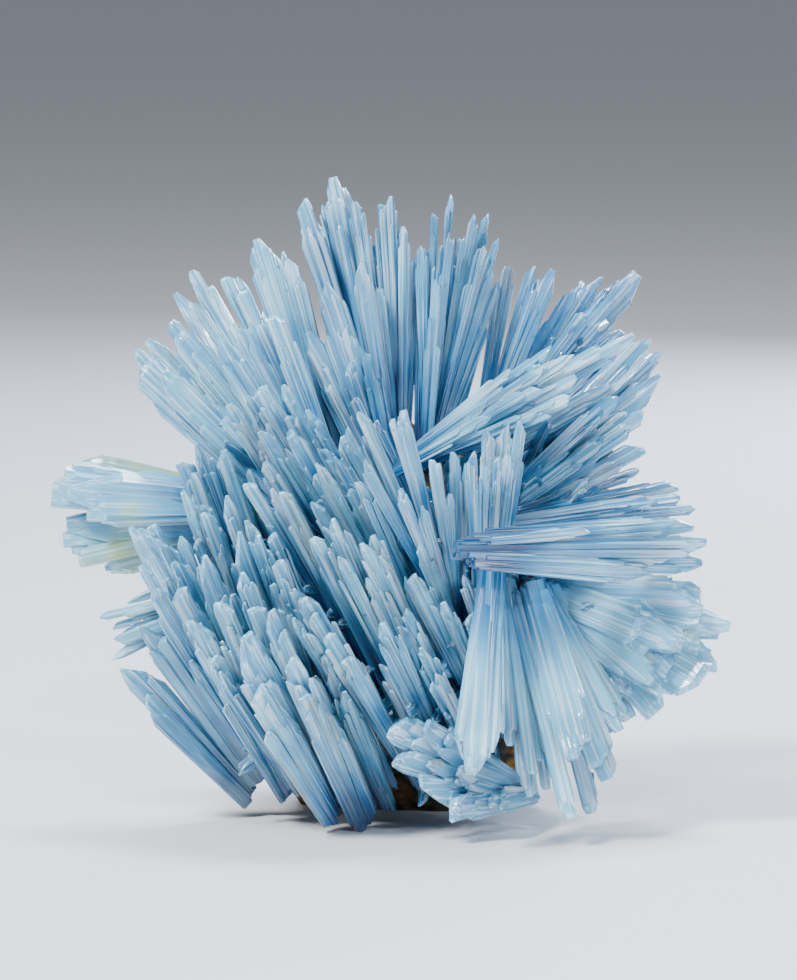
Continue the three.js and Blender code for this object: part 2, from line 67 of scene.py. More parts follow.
# One row is one crystal: the place of its tip, its width and its roll in degrees, and where
# it has one, a root of its own. Crystals fan out of the heart of their fan: a root is the
# heart plus the tip's distance from the middle of the fan's tips, times the spread.
SPRAYS = {
    "hanging_blade": [
        ((14.6, -25, 38), 0.25, [
            (12.1, -34, 8.3, 5.4, 24), (10.2, -31.5, 10.6, 3.6, -20), (15, -30, 13.9, 3.2, 30),
        ]),
    ],
    "hanging_fan": [
        ((22.4, -18, 32), 0.3, [
            (27.3, -27, 10.4, 6.6, -8), (32.2, -21, 7.2, 5.6, 22), (30, -18, 11.5, 4.4, -25),
            (33.4, -20, 14, 3, 15), (29.8, -14, 1.8, 3.4, 12),
        ]),
        ((17.6, -20, 33), 0.2, [
            (26.1, -26, 1.6, 3.4, 15), (24.2, -22, 8, 2.8, -30), (20.6, -24, 8, 2.6, 20),
            (17.6, -21, 12, 2.6, -14), (20.8, -19, 4.5, 3, 12),
        ]),
    ],
    "cross_bundle": [
        ((13, -31, 41), 0.3, [
            (46.4, -14, 41.2, 4.4, 18, 12.4, -33, 41), (46, -12, 38.6, 4, -20, 14.8, -31, 39.4),
            (44.6, -15, 44.3, 3.6, 30, 16.6, -30, 42.6), (38.2, -20, 37.2, 3.4, -10, 15.4, -32.5, 38.8),
            (41, -17, 42.6, 2.6, 40, 13.6, -32, 42.4), (29, -26.5, 43.6, 2, 12, 16.6, -32, 42.4),
        ]),
    ],
    "right_back_laths": [
        ((21, -13, 45.5), 0.3, [
            (45.4, -6, 46.6, 2.2, 20), (38.6, -11, 47.8, 3, -12), (43, -2, 50.2, 3.2, 25),
            (43.2, -5, 48.2, 3, -30), (37.2, 0, 52.4, 2.4, 35),
        ]),
    ],
    "upright_bundle": [
        ((14.6, -17, 36), 0.45, [
            (11.8, -29, 54.9, 2.4, 15), (13.6, -30, 53.3, 1.8, -30), (15.6, -28, 54.3, 2, 20),
            (17.2, -27, 54.6, 2.6, -15), (14.4, -21, 58.3, 3.2, 25), (16.8, -20, 59.2, 3, -10),
            (19.2, -22, 59.6, 2.7, 30),
        ]),
    ],
    "crossing_needles": [
        ((8.4, -17, 34), 0.22, [
            (-4.6, -27, 60.9, 2, 10), (0.2, -26, 59.8, 1.7, -25), (1.5, -30, 60.9, 2.6, 15),
            (6.2, -27, 53.8, 2.3, -20), (-3.8, -31, 53.7, 1.9, 20), (1.2, -31, 49.6, 2.1, -15),
            (4.4, -29, 47, 2.1, 25), (9.4, -23, 55, 2.2, 14), (8.6, -24, 49, 2.2, -14),
        ]),
    ],
    "front_mass": [
        ((-4, -6, 37), 0.9, [
            (-23.8, -17, 62, 3.6, 12), (-20.8, -15, 63.4, 2.8, -18), (-19.3, -19, 64.4, 3.6, -16),
            (-15.8, -18, 64.7, 2.9, 22), (-12.1, -21, 61.2, 3, -12), (-14.2, -24, 57.6, 3.8, 15),
            (-18.6, -22, 58.2, 3.2, -20), (-7.3, -24, 57, 3, 12), (-10.6, -27, 53.3, 3.6, -14),
            (-20.8, -24, 50.4, 3.2, -15),
        ]),
        ((4, -8, 19), 0.85, [
            (-15.6, -28, 49.2, 2.9, 14), (-8.8, -30, 45.2, 3, -22), (-11, -31, 42.6, 3.4, 12),
            (-7.2, -31, 39.9, 3, 20), (-3.8, -30, 41.8, 3, -12), (-1.4, -28, 39.9, 2.6, 15),
            (-4.4, -29, 50.6, 2.8, -10),
        ]),
        ((7, -9, 10), 0.85, [
            (-12.4, -34, 33.8, 4.4, -12), (-6.2, -33, 25.2, 2.9, 14), (-1.5, -32, 30, 3, -14),
            (2.2, -29, 32, 2.6, 12), (-9, -33, 28.5, 3.4, 16), (4.5, -28, 26.5, 2.7, -16),
            (6.8, -28, 22.8, 2.2, 10),
        ]),
        ((15, -10, 17), 0.6, [
            (4.2, -26, 41.5, 2.4, 12), (3, -28, 37, 2.6, -14), (7.6, -26, 33, 2.4, 12),
            (11.4, -24, 31, 2.4, 14), (10.8, -24, 37, 2.2, -16),
        ]),
    ],
    "left_upper_rows": [
        ((-18.8, -5, 27), 0.9, [
            (-28.6, -15, 56.3, 3.2, 16), (-24.8, -18, 55.2, 2.9, -14), (-30.6, -14, 53.7, 3.4, 10),
            (-30.1, -17, 49.2, 3.1, -22), (-27.1, -20, 46.3, 3, 18), (-30.8, -19, 42.6, 3, -16),
            (-24.2, -22, 48.5, 3.2, 12), (-20.6, -24, 45, 3.2, -14), (-18.2, -24, 40.5, 3, 12),
        ]),
    ],
    "left_lower_rows": [
        ((-20.5, -3, 10.5), 0.5, [
            (-37.2, -16, 44.3, 6, -10), (-34.4, -20, 34.8, 4.2, 12), (-31.2, -23, 34.8, 4.4, -12),
            (-31.6, -21, 39, 3.2, 14), (-36.2, -15, 29.5, 4.6, -14), (-39.4, -12, 23.4, 5.2, 12),
            (-28.4, -25, 30.4, 4.6, -12), (-25.6, -26, 25, 4.6, 14),
        ]),
    ],
    "low_middle_rows": [
        ((-12.8, -6, 12.8), 0.85, [
            (-27.5, -26, 39.6, 4.2, 14), (-22.6, -26, 42.9, 4.2, 12), (-19.6, -27, 42.8, 2.8, -14),
            (-21.8, -30, 37.2, 3.4, 18), (-16.3, -29, 39.2, 3.4, -20), (-24.6, -29, 33, 4.2, -12),
            (-19.5, -31, 32.5, 3.8, 14),
        ]),
        ((-3.4, -8, 9), 0.7, [
            (-14, -27, 35, 3.2, 12), (-11.6, -28, 30.5, 3, -14), (-9.4, -28, 25.5, 3, 12),
            (-7, -27, 20, 3, -14), (-11.4, -26, 22, 3, 14),
        ]),
    ],
    "low_front_blades": [
        ((-8.3, -14, 5.5), 0.6, [
            (-21.6, -34, 27.6, 6.4, 10), (-14.4, -34, 25.2, 4.8, -16), (-17.6, -34, 31.6, 4, 16),
            (-19.4, -33, 20.8, 5.2, -12), (-12.4, -32, 19.6, 4.4, 14),
        ]),
    ],
    "foot_blades": [
        ((18, -11, 5), 0.2, [
            (0.3, -27, 15, 6.4, 12), (1.2, -26, 10.5, 6.4, -14), (4.6, -26, 6, 5.6, 14),
            (9, -24, 2.8, 5, -14), (5, -28, 14.6, 5.2, 10), (10, -26, 8.5, 5, -12),
            (14.6, -22, 3.6, 4, 14),
        ]),
    ],
    "lower_right_fan": [
        ((26, -8, 33), 0.12, [
            (50, -12, 28.2, 9.5, -8), (46, -15, 33, 7.5, 12), (48.9, -10, 23.8, 9, 14),
            (45.5, -14, 20.8, 9, -12), (40.5, -18, 20.5, 8, 10), (40, -11, 17, 8, -14),
            (34.8, -9, 15, 6.4, 16), (40, -9, 35.5, 5, -20), (42, -18, 27, 8, 6),
        ]),
    ],
    "right_light_bundle": [
        ((5, -8, 55), 0.28, [
            (36.1, -13, 72.2, 3, 12), (31.2, -15, 70.3, 3, -20), (26.9, -17, 69.4, 2.6, 15),
            (24, -14, 70.4, 2.3, -12), (27.4, -19, 65.8, 2.8, 20), (26.3, -21, 63, 2.8, -15),
            (22.2, -19, 67, 2.8, 12), (17.8, -16, 66.8, 2.3, -22), (14.4, -21, 60.2, 2.8, -14),
            (22, -21, 64.4, 2.6, -10),
        ]),
    ],
    "right_spray": [
        ((16, -6, 46.5), 0.32, [
            (38.6, -3, 72.2, 4, 14), (40.2, -6, 70.4, 2.4, -20), (40.4, -8, 66.2, 5, 12),
            (39.6, -4, 69, 2.8, -25), (37.7, -10, 60.9, 3.4, 15), (35.4, -13, 58.6, 3.4, -14),
            (37.4, -9, 56.1, 4, 10), (33.6, -12, 63.4, 3.2, -18), (31, -14, 56.6, 3.2, 20),
        ]),
    ],
    "upper_right_spray": [
        ((17, 7, 61), 0.26, [
            (17.9, 5, 83.4, 2.8, 15), (21.4, 3, 83.3, 2.5, -20), (24.4, 1, 82.5, 3.7, 12),
            (27.6, 4, 79.4, 3.2, -14), (31.2, 5, 82, 5.2, 10), (34.6, 8, 81.6, 4, -18),
            (37.5, 4, 81.8, 4.8, 14), (34.4, 0, 73.6, 3.4, 20), (29.4, -1, 75.4, 3, -15),
        ]),
    ],
    "needle_fan": [
        ((6.2, 1.5, 57), 0.17, [
            (4.5, 0, 86.1, 1.6, 20), (6.6, 1, 91, 1.6, 15), (9.2, 3, 93.9, 1.5, -15),
            (8.9, -3, 87.2, 1.9, 20), (12.5, 0, 90.9, 1.7, 12), (14.6, 3, 91.2, 1.7, -18),
            (14.2, -3, 86.1, 1.5, 25), (16.1, 1, 87.3, 1.5, -10), (15.3, -2, 82.9, 1.7, 18),
            (16, 3, 80.2, 2.1, -22), (6.9, -4, 81, 2.3, -12),
        ]),
    ],
    "crown_spray": [
        ((0.5, 2.5, 52), 0.17, [
            (-8.8, 4, 96.6, 3.4, 12), (-7, 7, 95.2, 2.6, -18), (-5.4, 3, 92.9, 2.6, 20),
            (-10.4, 8, 92.6, 1.9, -10), (-13.4, 0, 93.1, 3.4, 14), (-9.8, -8, 80.2, 5.4, -10),
            (-4.6, -6, 83.4, 3.2, 16), (-3.6, -10, 69.6, 2.6, -15), (-1.4, 2, 92.5, 1.7, 20),
            (-0.2, 0, 93.6, 2, -12), (0.6, 2, 91.5, 1.5, 22), (2, -1, 89, 1.9, -16),
            (-2, 8, 84, 2.6, 10), (3.4, 6, 84.6, 2.2, -20), (-12.4, -5, 73, 4.4, 12),
        ]),
    ],
    "upper_left_spray": [
        ((-11.5, 0, 50), 0.36, [
            (-19.6, 2, 87.4, 4.2, 12), (-20.8, 5, 86, 3.2, -16), (-15.2, 0, 84.2, 3.2, 14),
            (-24.8, 4, 81.6, 3.2, -12), (-22.4, -1, 79.2, 3.2, 20), (-30.1, 7, 82.6, 3, -18),
            (-32.1, 5, 79.4, 4.6, 12), (-33.2, 2, 74.7, 3.4, -14), (-32.2, -4, 72.4, 4.6, 15),
            (-36.4, 3, 72.2, 3.6, -12), (-38.4, 2, 70.4, 3.4, 16), (-37.4, -3, 67.6, 6.6, -10),
            (-34, -7, 66.4, 6, 12), (-26, -7, 72, 4.6, -14), (-22.4, -9, 73.4, 3.8, 14),
            (-17.4, -8, 75.4, 4.2, -12),
        ]),
    ],
    "left_pair": [
        ((-24, -3, 46), 0.3, [
            (-50.2, -8, 49.8, 8, -8), (-45, -10, 46.4, 4.6, 14), (-46, -5, 53.6, 5, 12),
            (-49, -4, 42.8, 7, 10), (-46.5, -6, 39.2, 4, -16), (-42.6, -2, 37.4, 4, 14),
        ]),
    ],
    "left_needles": [
        ((-24, -3, 34), 0.3, [
            (-43.3, -9, 30.6, 1.9, -12), (-41.4, -7, 29, 1.9, 20), (-41, -8, 26.8, 2.7, -14),
            (-41.8, -6, 24.2, 1.9, 12),
        ]),
    ],
    "back_left_spray": [
        ((-11, 23.5, 41), 0.3, [
            (-27, 30, 58, 4.6, 12), (-20, 33, 62, 4.4, -16), (-30, 28, 49, 4.6, -12),
            (-22, 35, 50, 4.6, 18), (-29, 28, 40, 4.4, -14), (-20, 35, 39, 4.4, 16),
        ]),
    ],
    "back_right_spray": [
        ((12, 23.5, 44), 0.3, [
            (27, 29, 62, 4.6, 12), (19, 33, 64, 4.4, -14), (32, 27, 52, 4.6, -12),
            (25, 34, 52, 4.6, 14), (30, 28, 42, 4.2, -18), (16, 36, 54, 4.4, 12),
        ]),
    ],
}


class Value:
    """A socket of a node tree. Arithmetic on it adds the tree's own maths nodes."""

    def __init__(self, nodes, socket):
        self.nodes = nodes
        self.socket = socket

    def maths(self, operation, *others, output=0):
        kind = "ShaderNodeVectorMath" if self.socket.type == "VECTOR" else "ShaderNodeMath"
        return self.nodes.add(kind, {"operation": operation}, [self, *others], output)

    def flipped(self, operation, other):
        return self.nodes.add("ShaderNodeMath", {"operation": operation}, [other, self])

    def __add__(self, other):
        return self.maths("ADD", other)

    def __sub__(self, other):
        return self.maths("SUBTRACT", other)

    def __mul__(self, other):
        by_number = isinstance(other, (int, float)) or other.socket.type != "VECTOR"
        scaled = self.socket.type == "VECTOR" and by_number
        return self.maths("SCALE" if scaled else "MULTIPLY", other)

    def __truediv__(self, other):
        return self.maths("DIVIDE", other)

    def __pow__(self, other):
        return self.maths("POWER", other)

    def __radd__(self, other):
        return self.flipped("ADD", other)

    def __rsub__(self, other):
        return self.flipped("SUBTRACT", other)

    def __rmul__(self, other):
        return self * other

    def dot(self, other):
        return self.maths("DOT_PRODUCT", other, output="Value")

    def ramp(self, low, high):
        """0 below low and 1 above high, with a smooth rise between them."""
        return self.nodes.add(
            "ShaderNodeMapRange",
            {"interpolation_type": "SMOOTHSTEP"},
            {"Value": self, "From Min": low, "From Max": high},
        )


class Nodes:
    """Adds nodes to a tree."""

    def __init__(self, tree):
        self.tree = tree

    def add(self, kind, settings=None, inputs=None, output=0):
        """A node of that type. Its settings come first, then the values or links of its inputs."""
        node = self.tree.nodes.new(kind)
        for name, value in (settings or {}).items():
            setattr(node, name, value)
        free = [socket for socket in node.inputs if socket.enabled]
        inputs = inputs or {}
        for key, value in inputs.items() if isinstance(inputs, dict) else enumerate(inputs):
            socket = free[key] if isinstance(key, int) else next(s for s in free if s.name == key)
            if isinstance(value, Value):
                self.tree.links.new(value.socket, socket)
            else:
                socket.default_value = value
        free = [socket for socket in node.outputs if socket.enabled]
        if not free:
            return None
        if isinstance(output, int):
            return Value(self, free[output])
        return Value(self, next(socket for socket in free if socket.name == output))

    def outputs_of(self, value):
        return [Value(self, socket) for socket in value.socket.node.outputs]

    def vector(self, x, y, z):
        return self.add("ShaderNodeCombineXYZ", inputs=[x, y, z])

    def mixed(self, share, first, second):
        """Two colours mixed by a share from 0 to 1."""
        return self.add(
            "ShaderNodeMix", {"data_type": "RGBA"}, {"Factor": share, "A": first, "B": second}
        )

    def attribute(self, name, output="Vector"):
        return self.add("ShaderNodeAttribute", {"attribute_name": name}, output=output)


# The names under which a lath's own axes and sizes are kept on its faces.
LATH_ROOT = "lath_root"
LATH_ALONG = "lath_along"
LATH_ACROSS = "lath_across"
LATH_SIZE = "lath_size"

# How laths lie in their crystal. The golden step spreads them evenly across it. The widths
# of the main lath and of all of them are over the crystal's width, and the longest step back
# is over its length. The least sizes are in metres, the twist is in radians, and the last
# two say how far a lath's root is from the middle, over how far its tip is.
GOLDEN_STEP = 0.618
MAIN_LATH_WIDTH = 0.72
FULL_WIDTH = 1.06
LONGEST_STEP = 0.36
LEAST_WIDTH = 0.00045
LEAST_THICKNESS = 0.0005
LEAST_DEPTH = 0.0008
MOST_TWIST = 0.22
ROOT_ACROSS = 0.68
ROOT_DEPTH = 0.8

# The form of one lath: its width at the root over its full width, the power that brings its
# corners out to its edges, the least and greatest length of its end's slope and the most that
# its tip leans to one side, both over its width, and the longest slope over its length.
ROOT_WIDTH = 0.8
EDGE_POWER = 0.45
SLOPE_REACH = (0.5, 1.7)
TIP_SKEW = 0.3
LONGEST_SLOPE = 0.4

# 0.5 over the height of a hexagon's corner, so that a lath is as thick as its given thickness.
HEXAGON_HALF = 0.577

# Each random number has a seed of its own, this far from the one before it.
SEED_STEP = 97


def lath_tree():
    """The Geometry Nodes tree that turns each point, a crystal's root, into a bundle of laths."""
    found = bpy.data.node_groups.get("crystal_laths")
    if found:
        return found
    tree = bpy.data.node_groups.new("crystal_laths", "GeometryNodeTree")
    for name, kind in (
        ("Roots", "Geometry"),
        ("Laths Per Millimetre", "Float"),
        ("Lath Width", "Float"),
        ("Tip Step", "Float"),
        ("Splay", "Float"),
        ("Bluntness", "Float"),
        ("Thickness", "Float"),
        ("Sink", "Float"),
        ("Seed", "Int"),
        ("Join", "Bool"),
        ("Material", "Material"),
    ):
        tree.interface.new_socket(name, in_out="INPUT", socket_type="NodeSocket" + kind)
    tree.interface.new_socket("Laths", in_out="OUTPUT", socket_type="NodeSocketGeometry")
    nodes = Nodes(tree)
    entry = tree.nodes.new("NodeGroupInput")
    given = {socket.name: Value(nodes, socket) for socket in entry.outputs if socket.name}

    def named(name, kind="FLOAT"):
        return nodes.add("GeometryNodeInputNamedAttribute", {"data_type": kind}, {"Name": name})

    draws = itertools.count(1)

    def drawn(low, high):
        """A random number for each lath."""
        return nodes.add(
            "FunctionNodeRandomValue",
            {"data_type": "FLOAT"},
            {"Min": low, "Max": high, "Seed": given["Seed"] + next(draws) * SEED_STEP},
        )

    roots = nodes.add("GeometryNodeMeshToPoints", inputs={"Mesh": given["Roots"]})
    count = (named("width") * 1000 * given["Laths Per Millimetre"]).maths("ROUND") + 3
    copies = nodes.add(
        "GeometryNodeDuplicateElements", {"domain": "POINT"}, {"Geometry": roots, "Amount": count}
    )
    number = nodes.outputs_of(copies)[1]
    main = number.maths("LESS_THAN", 0.5)
    other = 1 - main

    # The crystal that the lath belongs to.
    root = nodes.add("GeometryNodeInputPosition")
    tip = named("tip", "FLOAT_VECTOR")
    width = named("width")
    roll = named("roll")
    chord = tip - root
    length = chord.maths("LENGTH", output="Value")
    along = chord.maths("NORMALIZE")
    across = along.maths("CROSS_PRODUCT", tuple(-INTO_FACE)).maths("NORMALIZE")
    facing = across.maths("CROSS_PRODUCT", along)
    turned = across * roll.maths("COSINE") - facing * roll.maths("SINE")
    facing = turned.maths("CROSS_PRODUCT", along)
    across = turned

    # The lath's own place in it: spread evenly across it, with its tip stepped back.
    side = (number * GOLDEN_STEP + named("tint")).maths("FRACT") * 2 - 1
    side = side * other
    share = given["Lath Width"] * drawn(0.6, 1.4)
    lath_width = (width * (main * MAIN_LATH_WIDTH + other * share)).maths("MAXIMUM", LEAST_WIDTH)
    thickness = lath_width * given["Thickness"] * drawn(0.8, 1.3)
    thickness = thickness.maths("MAXIMUM", LEAST_THICKNESS)
    swing = (width * FULL_WIDTH - lath_width) * 0.5 * side
    depth = (width * given["Thickness"]).maths("MAXIMUM", LEAST_DEPTH) * drawn(-0.62, 0.62) * other
    step = (width * given["Tip Step"]).maths("MINIMUM", length * LONGEST_STEP)
    step = step * (side.maths("ABSOLUTE") * 0.55 + drawn(0.05, 0.95)) * other
    sink = given["Sink"] * drawn(0.6, 1.4)
    stray = length * given["Splay"] * other
    root_across = swing * ROOT_ACROSS
    root_depth = depth * ROOT_DEPTH
    lath_root = root + across * root_across + facing * root_depth - along * sink
    tip_across = swing + stray * drawn(-1, 1)
    tip_depth = depth + stray * drawn(-1, 1)
    lath_tip = tip + across * tip_across + facing * tip_depth - along * step
    lath_chord = lath_tip - lath_root
    lath_length = lath_chord.maths("LENGTH", output="Value")
    lath_along = lath_chord.maths("NORMALIZE")
    twist = drawn(-MOST_TWIST, MOST_TWIST)
    lath_facing = lath_along.maths("CROSS_PRODUCT", across).maths("NORMALIZE") * -1
    lath_across = lath_along.maths("CROSS_PRODUCT", lath_facing)
    lath_across = lath_across * twist.maths("COSINE") + lath_facing * twist.maths("SINE")
    lath_facing = lath_across.maths("CROSS_PRODUCT", lath_along)

    # One lath: a six-sided prism whose end narrows in two steps to a small chisel face.
    prism = nodes.add(
        "GeometryNodeMeshCylinder",
        {"fill_type": "NGON"},
        {"Vertices": 6, "Side Segments": 4, "Radius": 1.0, "Depth": 1.0},
    )
    begin = tree.nodes.new("GeometryNodeForeachGeometryElementInput")
    end = tree.nodes.new("GeometryNodeForeachGeometryElementOutput")
    begin.pair_with_output(end)
    end.domain = "POINT"
    carried = {
        "root": lath_root,
        "along": lath_along,
        "across": lath_across,
        "facing": lath_facing,
        "size": nodes.vector(lath_width, thickness, lath_length),
        "form": nodes.vector(
            drawn(*SLOPE_REACH), drawn(-TIP_SKEW, TIP_SKEW), given["Bluntness"] * drawn(0.3, 1.4)
        ),
        "tone": nodes.vector(lath_length, named("tint"), drawn(0, 1)),
    }
    for name in carried:
        end.input_items.new("VECTOR", name)
    tree.links.new(copies.socket, begin.inputs["Geometry"])
    for name, value in carried.items():
        tree.links.new(value.socket, begin.inputs[name])
    own = {name: Value(nodes, begin.outputs[name]) for name in carried}

    def parts(value):
        return nodes.outputs_of(nodes.add("ShaderNodeSeparateXYZ", inputs=[value]))

    x, y, z = parts(nodes.add("GeometryNodeInputPosition"))
    wide, thick, long = parts(own["size"])
    shoulder, skew, blunt = parts(own["form"])
    level = z + 0.5
    body = (level * 2).maths("MINIMUM", 1)
    peak = (level * 2 - 1).maths("MAXIMUM", 0)
    slope = (shoulder * wide * (1.15 - blunt)).maths("MINIMUM", long * LONGEST_SLOPE)
    height = body * (long - slope) + slope * peak
    narrowing = (body * (1 - ROOT_WIDTH) + ROOT_WIDTH) * (1 - (1 - blunt) * peak ** 1.1)
    flat = x.maths("SIGN") * x.maths("ABSOLUTE") ** EDGE_POWER * 0.5
    sideways = (flat * narrowing + skew * peak) * wide
    inwards = y * -HEXAGON_HALF * thick * (1 - 0.5 * peak ** 3)
    place = own["root"] + own["across"] * sideways + own["facing"] * inwards
    place = place + own["along"] * height
    lath = nodes.add("GeometryNodeSetPosition", inputs={"Geometry": prism, "Position": place})
    for name, value in (
        (LATH_ROOT, own["root"]),
        (LATH_ALONG, own["along"]),
        (LATH_ACROSS, own["across"]),
        (LATH_SIZE, own["tone"]),
    ):
        lath = nodes.add(
            "GeometryNodeStoreNamedAttribute",
            {"data_type": "FLOAT_VECTOR", "domain": "FACE"},
            {"Geometry": lath, "Name": name, "Value": value},
        )
    lath = nodes.add("GeometryNodeGeometryToInstance", inputs=[lath])
    tree.links.new(lath.socket, end.inputs["Geometry"])
    laths = Value(nodes, end.outputs[2])

    joined = nodes.add(
        "GeometryNodeMeshBoolean", {"operation": "UNION", "solver": "MANIFOLD"}, {"Mesh": laths}
    )
    chosen = nodes.add(
        "GeometryNodeSwitch",
        {"input_type": "GEOMETRY"},
        {"Switch": given["Join"], "False": laths, "True": joined},
    )
    plain = nodes.add("GeometryNodeRealizeInstances", inputs=[chosen])
    flat_faces = nodes.add(
        "GeometryNodeSetShadeSmooth", inputs={"Geometry": plain, "Shade Smooth": False}
    )
    coated = nodes.add(
        "GeometryNodeSetMaterial", inputs={"Geometry": flat_faces, "Material": given["Material"]}
    )
    exit_node = tree.nodes.new("NodeGroupOutput")
    tree.links.new(coated.socket, exit_node.inputs[0])
    return tree


def crystal_rows(fans):
    """The root, tip, width and roll of each crystal of a spray, in metres and radians."""
    rows = []
    for heart, spread, crystals in fans:
        middle = [sum(row[k] for row in crystals) / len(crystals) for k in range(3)]
        for across, depth, height, width, roll, *own_root in crystals:
            tip = (across, depth, height)
            root = own_root or [h + spread * (t - m) for h, t, m in zip(heart, tip, middle)]
            rows.append((on_face(root), on_face(tip), width * MM, math.radians(roll)))
    return rows


# Neighbours are the nearest crystals whose tips are between these distances away, in metres,
# and which lean the same way: the cosine of the angle between them is above this value.
CLOSEST_TIP = 0.0001
FURTHEST_TIP = 0.014
SAME_LEAN = 0.86
NEIGHBOURS = 6


def between(rows, others, share, seed):
    """More crystals between neighbouring ones, with tips a little lower and deeper."""
    draw = random.Random(seed)
    extra = []
    for _ in range(round(share * len(rows))):
        first = draw.choice(rows)
        heading = (first[1] - first[0]).normalized()
        near = [
            row
            for row in others
            if CLOSEST_TIP < (row[1] - first[1]).length < FURTHEST_TIP
            and (row[1] - row[0]).normalized().dot(heading) > SAME_LEAN
        ]
        near = sorted(near, key=lambda row: (row[1] - first[1]).length)[:NEIGHBOURS]
        second = draw.choice(near) if near else first
        mix = draw.uniform(0.15, 0.75)
        root = first[0].lerp(second[0], mix)
        tip = first[1].lerp(second[1], mix)
        jitter = Vector([draw.uniform(-1, 1) for _ in range(3)]) * (0.35 * first[2])
        lower = draw.uniform(0.02, 0.3)
        deeper = draw.uniform(0, 2.5)
        tip = tip.lerp(root, lower) + INTO_FACE * deeper * MM + jitter
        width = first[2] * draw.uniform(0.55, 0.95)
        roll = first[3] + draw.uniform(-0.5, 0.5)
        extra.append((root, tip, width, roll))
    return extra


# The inner blades: how many, the seed, the place in millimetres that they point away from,
# and in metres how low and how far to the left their roots may be.
INNER_BLADES = 190
INNER_SEED = 5
INNER_HEART = (6, 14, 33)
LOWEST_ON_RIGHT = 0.006
LOWEST_ON_LEFT = 0.016
FURTHEST_LEFT = -0.017


def inner_rows(count, seed):
    """Short blades on the front of the rock, clear of its foot and left side."""
    draw = random.Random(seed)
    rock = frame["nodes"]["matrix_rock"].data
    tree = BVHTree.FromPolygons([v.co for v in rock.vertices], [p.vertices for p in rock.polygons])
    heart = on_face(INNER_HEART)
    rows = []
    while len(rows) < count:
        aim = [draw.uniform(low, high) for low, high in ((-1, 1), (-1.3, -0.3), (-0.8, 0.9))]
        aim = Vector(aim).normalized()
        place, *_ = tree.ray_cast(heart, aim)
        if place is None or place.x < FURTHEST_LEFT:
            continue
        if place.z < (LOWEST_ON_RIGHT if place.x > 0 else LOWEST_ON_LEFT):
            continue
        lift = (aim + Vector((-0.35, -0.3, 0.35)) * max(0, -aim.y)).normalized()
        length = draw.uniform(11, 19) * MM
        tip = place + (lift + Vector([draw.uniform(-0.2, 0.2) for _ in range(3)])) * length
        root = place - lift * 0.003
        rows.append((root, tip, draw.uniform(2.0, 3.6) * MM, draw.uniform(-0.5, 0.5)))
    return rows


def on_face(place):
    """A place on the leaning face, as a point in the part's frame, in metres."""
    across, depth, height = place
    point = FACE_TO_ORIGIN + ACROSS_FACE * across + INTO_FACE * depth + UP_FACE * height
    return point * MM


def bundle(name, rows, form, material, seed):
    """A plain mesh of all the laths of these crystals, built in that form."""
    habit = bpy.context.scene.barite_habit
    laths_per_mm, lath_width, tip_step, bluntness, _ = HABITS[form]
    mesh = bpy.data.meshes.new(name)
    mesh.from_pydata([root for root, *_ in rows], [], [])
    draw = random.Random(seed)
    tips = mesh.attributes.new("tip", "FLOAT_VECTOR", "POINT")
    tips.data.foreach_set("vector", [c for _, tip, *_ in rows for c in tip])
    for key, values in (
        ("width", [row[2] for row in rows]),
        ("roll", [row[3] for row in rows]),
        ("tint", [draw.random() for _ in rows]),
    ):
        mesh.attributes.new(key, "FLOAT", "POINT").data.foreach_set("value", values)
    piece = bpy.data.objects.new(name, mesh)
    bpy.context.scene.collection.objects.link(piece)
    modifier = piece.modifiers.new("laths", "NODES")
    modifier.node_group = lath_tree()
    values = {
        "Laths Per Millimetre": laths_per_mm * habit.density,
        "Lath Width": lath_width,
        "Tip Step": tip_step * habit.tip_step,
        "Bluntness": bluntness,
        "Splay": habit.splay,
        "Thickness": habit.thickness,
        "Sink": habit.sink,
        "Seed": seed,
        "Join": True,
        "Material": material,
    }
    for item in modifier.node_group.interface.items_tree:
        if item.item_type == "SOCKET" and item.name in values:
            modifier[item.identifier] = values[item.name]
    evaluated = piece.evaluated_get(bpy.context.evaluated_depsgraph_get())
    finished = bpy.data.meshes.new_from_object(evaluated)
    piece.modifiers.remove(modifier)
    piece.data = finished
    return piece


